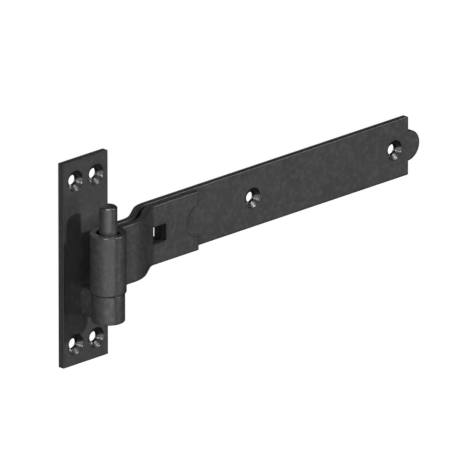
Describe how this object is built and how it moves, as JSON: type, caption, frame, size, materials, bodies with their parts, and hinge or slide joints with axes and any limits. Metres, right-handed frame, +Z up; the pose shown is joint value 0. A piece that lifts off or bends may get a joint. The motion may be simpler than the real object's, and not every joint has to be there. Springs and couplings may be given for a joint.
{
  "type": "band and hook hinge",
  "caption": "Cranked strap hinge for a gate: a folded flat band with a turned eye swings on the upright pin of a screw-on back plate.",
  "frame": {"origin": "centre of the back plate's rear face, which lies against the post", "axes": "+X along the strap towards its nib, +Y into the post behind the plate, +Z up along the pin"},
  "size_m": [0.3266, 0.0374, 0.14],
  "materials": {
    "black_steel": "satin black coating on hot rolled mild steel"
  },
  "bodies": {
    "hook": {"back_plate": "black_steel", "hook_bracket": "black_steel", "hinge_pin": "black_steel"},
    "band": {"band": "black_steel"}
  },
  "joints": [
    {"name": "band_swing", "type": "hinge", "parent": "hook", "child": "band", "pos_m": [0, -0.0255, 0.0036], "axis": [0, 0, -1], "range_deg": [0, 180]}
  ]
}
